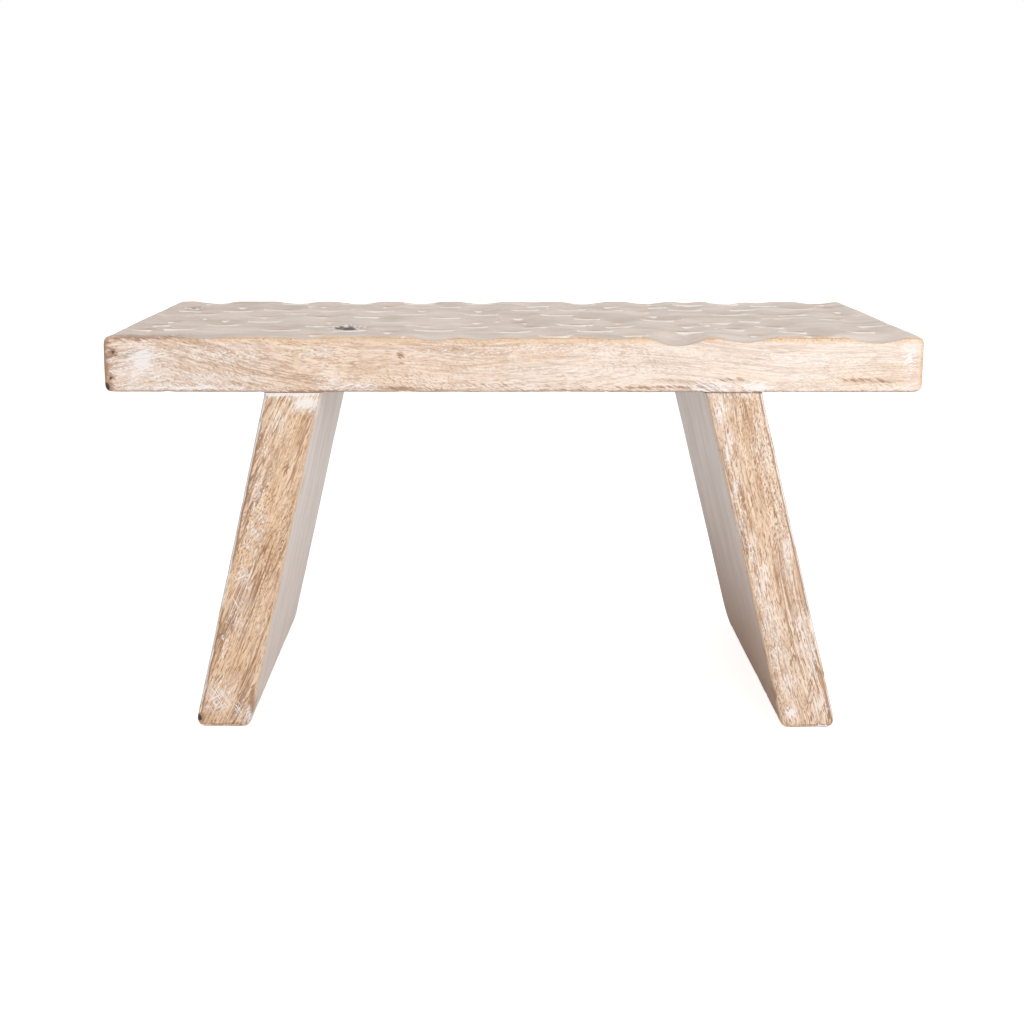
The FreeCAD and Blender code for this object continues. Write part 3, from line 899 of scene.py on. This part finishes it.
def wood_layers(graph, finish, board, mask, x, grain, wear_and_shade):
    """The bleached wood, its grain, the waxed top, painted sheen on the legs' inner faces and
    painted shade low on them, and painted shade in the bowls.
    """
    ends = (SEAT_LOW.x, SEAT_HIGH.x)
    tone = graph.between(x, *ends, *board["tone"])
    shown = graph.between(x, *ends, *(amount * finish.grain_amount for amount in board["contrast"]))
    darkness = graph.scaled(grain["Rings"], 0.07, -0.3)
    darkness = graph.scaled(grain["Streaks"], 0.07, darkness)
    darkness = graph.scaled(grain["Fibres"], 0.6, darkness)
    darkness = graph.scaled(darkness, shown, tone, clamp=True)
    warmth = graph.scaled(grain["Patches"], 0.45, board["golden"] - 0.22, clamp=True)
    veined = graph.scaled(mask["inner_faces"], 0.6, mask["handled"])
    # Painted shade in the bowls behind their lips
    worn_and_shaded = graph.times(mask["bowl"], graph.between(wear_and_shade["Streaks"], 0.1, 0.9, 0.25, 0.7))
    bowl_shade = graph.times(
        graph.between(mask["bowl"], 0.6, 1.0), graph.between(wear_and_shade["Bands"], 0.3, 0.7, 0.0, 0.45))
    return (
        (warmth, finish.golden_wood),
        (darkness, finish.tan_wood),
        (graph.times(grain["Lines"], graph.times(shown, board["lines"])), finish.brown_grain),
        (graph.times(grain["Pores"], graph.times(shown, board["pores"])), finish.brown_grain),
        (graph.times(mask["handled"], 0.7), finish.handled_wood),
        # Painted sheen on the legs' inner faces
        (graph.times(mask["inner_faces"], 0.85), finish.inner_sheen_wood),
        (graph.times(wear_and_shade["Bands"], veined, 0.5), finish.weathered_grain),
        # Painted shade low on the legs' inner faces
        (mask["painted_shade"], finish.painted_shade_brown),
        (worn_and_shaded, finish.tan_wood),
        (bowl_shade, finish.brown_grain),
    )


def finish_layers(graph, finish, mask, wear_and_shade, wash):
    """Worn arrises, wash kept off the painted shade, chalk, a painted highlight on the lips of the
    bowls, and dark lines and stains with painted shade at the arris.
    """
    # The wash is kept off the painted shade low on the inner faces.
    unshaded = graph.between(mask["painted_shade"], 0.2, 1.0, 1.0, 0.1)
    # Painted highlight on the front lips of the bowls
    lip_highlight = graph.swayed(mask["lip"], wear_and_shade["Streaks"], -0.12)
    lip_highlight = graph.times(
        graph.between(lip_highlight, 0.35, 0.65), graph.between(wear_and_shade["Bands"], 0.1, 0.5, 0.35, 1.0))
    return (
        (wear_and_shade["Bare"], finish.arris_tan),
        (graph.times(wash["Wash"], unshaded), finish.white_wash),
        (wear_and_shade["Chalk"], finish.white_wash),
        (lip_highlight, finish.lip_highlight_colour),
        # Dark lines, chips and stains, and painted shade on the arris itself
        (graph.times(wear_and_shade["Dark"], 0.8), finish.brown_grain),
    )


def knot_layers(graph, finish, mask, position):
    """Brown round a knot, a chalky ring and its black heart, which black stains have too."""
    near = mask["knot"]
    knot = graph.swayed(near, graph.noise(position, KNOT_FINENESS, 3.0, 0.6)[0], 2.0)
    ring = graph.times(
        graph.between(knot, 0.25, 0.45), graph.between(knot, 0.55, 0.7, 0.8, 0.0),
        graph.between(near, 0.1, 0.3))
    heart = graph.times(graph.between(knot, 0.7, 0.9), graph.between(near, 0.2, 0.4))
    return (
        (graph.times(graph.between(near, 0.05, 0.5), 0.6), finish.brown_grain),
        (ring, finish.white_wash),
        (graph.largest(heart, graph.between(mask["stain"], 1.6, 2.1)), finish.black_heart),
    )


def washed_wood(name, finish, board, turn, edge_turn):
    """Bleached and whitewashed wood of one board; turn brings its grain to lie along X."""
    groups = shared_groups()
    material, graph, surface = new_material(name)
    position = graph.add("ShaderNodeTexCoord").outputs["Object"]
    apart = graph.add("ShaderNodeSeparateXYZ")
    graph.feed(apart.inputs[0], position)
    x = apart.outputs["X"]
    lift = graph.add("ShaderNodeCombineXYZ")
    graph.feed(lift.inputs["Z"], graph.between(x, SEAT_LOW.x, SEAT_LOW.x / 3, board["rise"], 0.0))
    grained = graph.vector("SUBTRACT", position, lift.outputs[0])

    mask = {label: graph.mask(label) for label in MASKS}
    grain = place_group(
        graph, groups["grain"], Position=grained, Turn=turn, Place_In_Log=board["place"],
        Wander=0.05, Ring_Gap=0.015, Fleck_Turn=board["flecks"])
    wear_and_shade = place_group(
        graph, groups["wear_and_shade"], Position=position, Turn=edge_turn, Inset=mask["inset"],
        Bare=mask["bare"], Bare_Width=board["bare"], Lines=board["edged"], Stain=mask["stain"])
    amount = graph.math("ADD", mask["wash"], THIN_WASH * finish.wash_amount)
    wash = place_group(
        graph, groups["wash"], Position=grained, Turn=turn + board["brushed"], Amount=amount,
        Pores=grain["Pores"], Scratched=mask["scratched"])

    layers = (
        *wood_layers(graph, finish, board, mask, x, grain, wear_and_shade),
        *finish_layers(graph, finish, mask, wear_and_shade, wash),
        *knot_layers(graph, finish, mask, position))
    graph.feed(surface.inputs["Base Color"], graph.paint(finish.pale_wood, layers))
    rough = graph.scaled(wash["Wash"], WASH_ROUGHNESS, WOOD_ROUGHNESS)
    graph.feed(surface.inputs["Roughness"], rough)
    surface.inputs["Specular IOR Level"].default_value = WOOD_GLOSS
    height = graph.scaled(wash["Relief"], 0.5, grain["Relief"])
    strength = graph.scaled(mask["handled"], -0.25, 0.4)
    graph.raise_surface(surface, height, strength, distance=0.0005)
    return material


def dowel_wood(finish):
    """Bare turned hardwood of the hidden dowels."""
    material, graph, surface = new_material("dowel_wood")
    position = graph.add("ShaderNodeTexCoord").outputs["Object"]
    grain = place_group(
        graph, shared_groups()["grain"], Position=position, Turn=math.pi / 2,
        Place_In_Log=DOWEL_PLACE_IN_LOG, Wander=0.01, Ring_Gap=0.004)
    layers = ((graph.times(grain["Fibres"], 0.5), finish.brown_grain),
              (graph.times(grain["Pores"], 0.4), finish.brown_grain))
    graph.feed(surface.inputs["Base Color"], graph.paint(finish.dowel_wood, layers))
    graph.feed(surface.inputs["Roughness"], graph.scaled(grain["Fibres"], 0.15, 0.5))
    graph.raise_surface(surface, grain["Relief"], strength=0.3, distance=0.0004)
    return material


# Operators, one for each kind of piece and one for the stage

class STOOL_OT_seat(bpy.types.Operator):
    """Build the carved slab seat in place of the solid one"""

    bl_idname = "stool.seat"
    bl_label = "Carved Seat"

    def execute(self, context):
        scene = context.scene
        seat = build_seat(scene.stool_shape)
        seat.data.materials.append(washed_wood(
            "seat_whitewashed_wood", scene.stool_finish, BOARDS["seat"], turn=0.0, edge_turn=0.0))
        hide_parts("seat")
        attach(seat, BODY)
        return {"FINISHED"}


class STOOL_OT_legs(bpy.types.Operator):
    """Build the two splayed plank legs in place of the solid ones"""

    bl_idname = "stool.legs"
    bl_label = "Plank Legs"

    def execute(self, context):
        scene = context.scene
        for side in SIDES:
            leg, lean = build_leg(side, scene.stool_shape)
            leg.data.materials.append(washed_wood(
                f"{side}_leg_whitewashed_wood", scene.stool_finish, BOARDS[side],
                turn=math.pi / 2 - LEG_GRAIN_LEAN[side], edge_turn=math.pi / 2 - lean))
            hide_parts(f"{side}_leg")
            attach(leg, BODY)
        return {"FINISHED"}


class STOOL_OT_dowels(bpy.types.Operator):
    """Give the hidden dowels their bare turned wood"""

    bl_idname = "stool.dowels"
    bl_label = "Dowels"

    def execute(self, context):
        wood = dowel_wood(context.scene.stool_finish)
        for name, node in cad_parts.items():
            if "_dowel_" in name:
                for slot in node.material_slots:
                    slot.material = wood
        return {"FINISHED"}


class STOOL_OT_stage(bpy.types.Operator):
    """Lay the pale floor and set the soft light and the camera"""

    bl_idname = "stool.stage"
    bl_label = "Stage"

    def execute(self, context):
        stage = context.scene.stool_stage
        lay_floor(stage)
        light_room(stage)
        hang_lamp("key_lamp", KEY_PLACE, stage.key_power)
        hang_lamp("fill_lamp", FILL_PLACE, stage.fill_power)
        stand_camera()
        context.scene.view_settings.view_transform = "Standard"
        return {"FINISHED"}


def lay_floor(stage):
    """Plain pale floor, white to the camera where no shadow falls."""
    mesh = bpy.data.meshes.new("floor")
    reach = FLOOR_REACH
    corners = [(-reach, -reach, 0), (reach, -reach, 0), (reach, reach, 0), (-reach, reach, 0)]
    mesh.from_pydata(corners, [], [(0, 1, 2, 3)])
    floor = in_scene("floor", mesh)
    material, graph, surface = new_material("pale_floor")
    graph.feed(surface.inputs["Base Color"], opaque(stage.floor_colour))
    surface.inputs["Roughness"].default_value = 0.9
    surface.inputs["Specular IOR Level"].default_value = 0.0
    surface.inputs["Emission Color"].default_value = opaque(WHITE)
    seen = graph.add("ShaderNodeLightPath").outputs
    direct = graph.largest(seen["Is Camera Ray"], seen["Is Transmission Ray"])
    mirrored = graph.times(seen["Is Glossy Ray"], FLOOR_GLOW_IN_GLOSS)
    graph.feed(surface.inputs["Emission Strength"], graph.scaled(direct, FLOOR_GLOW, mirrored))
    mesh.materials.append(material)


def light_room(stage):
    """White surroundings: full white when looked at or mirrored, softer as a lamp."""
    world = bpy.data.worlds.new("white_room")
    bpy.context.scene.world = world
    world.use_nodes = True
    world.node_tree.nodes.clear()
    graph = Graph(world.node_tree)
    seen = graph.add("ShaderNodeLightPath").outputs
    rays = ("Is Camera Ray", "Is Glossy Ray", "Is Transmission Ray")
    direct = graph.largest(*(seen[ray] for ray in rays))
    background = graph.add("ShaderNodeBackground")
    background.inputs["Color"].default_value = opaque(WHITE)
    strength = graph.scaled(direct, 1.0 - stage.room_light, stage.room_light)
    graph.feed(background.inputs["Strength"], strength)
    output = graph.add("ShaderNodeOutputWorld")
    graph.feed(output.inputs["Surface"], background.outputs[0])


def hang_lamp(name, place, watts):
    """Soft square lamp turned towards the middle of the stool."""
    lamp = bpy.data.lights.new(name, "AREA")
    lamp.size = LAMP_SIZE
    lamp.energy = watts
    middle = Vector((0, 0, 0.55 * SEAT_HIGH.z))
    place = Vector(place)
    turned = (middle - place).to_track_quat("-Z", "Y").to_matrix().to_4x4()
    in_scene(name, lamp).matrix_world = Matrix.Translation(place) @ turned


def stand_camera():
    """Camera at the photograph's angle."""
    camera = bpy.data.cameras.new("camera")
    camera.lens = CAMERA_LENS
    camera.shift_x, camera.shift_y = CAMERA_SHIFT
    holder = in_scene("camera", camera)
    holder.location = CAMERA_PLACE
    holder.rotation_euler = CAMERA_TURN
    bpy.context.scene.camera = holder


class STOOL_PT_panel(bpy.types.Panel):
    """The stool's settings and pieces"""

    bl_idname = "STOOL_PT_panel"
    bl_label = "Carved Plank Stool"
    bl_space_type = "VIEW_3D"
    bl_region_type = "UI"
    bl_category = "Stool"

    def draw(self, context):
        for group in SETTINGS:
            settings = getattr(context.scene, group)
            box = self.layout.box()
            for name in settings.__annotations__:
                box.prop(settings, name)
        for operator in OPERATORS:
            self.layout.operator(operator.bl_idname)


OPERATORS = (STOOL_OT_seat, STOOL_OT_legs, STOOL_OT_dowels, STOOL_OT_stage)
SETTINGS = {
    "stool_shape": StoolShapeSettings,
    "stool_finish": StoolFinishSettings,
    "stool_stage": StoolStageSettings,
}


def register():
    """Add the settings, the operators and the panel."""
    for group in SETTINGS.values():
        bpy.utils.register_class(group)
    for name, group in SETTINGS.items():
        setattr(bpy.types.Scene, name, PointerProperty(type=group))
    for operator in OPERATORS:
        bpy.utils.register_class(operator)
    bpy.utils.register_class(STOOL_PT_panel)


def unregister():
    """Take them away again, last first."""
    bpy.utils.unregister_class(STOOL_PT_panel)
    for operator in reversed(OPERATORS):
        bpy.utils.unregister_class(operator)
    for name in SETTINGS:
        delattr(bpy.types.Scene, name)
    for group in reversed(tuple(SETTINGS.values())):
        bpy.utils.unregister_class(group)


def main():
    """Build the whole stool and its stage."""
    register()
    bpy.ops.stool.seat()
    bpy.ops.stool.legs()
    bpy.ops.stool.dowels()
    bpy.ops.stool.stage()


if __name__ == "__main__":
    main()
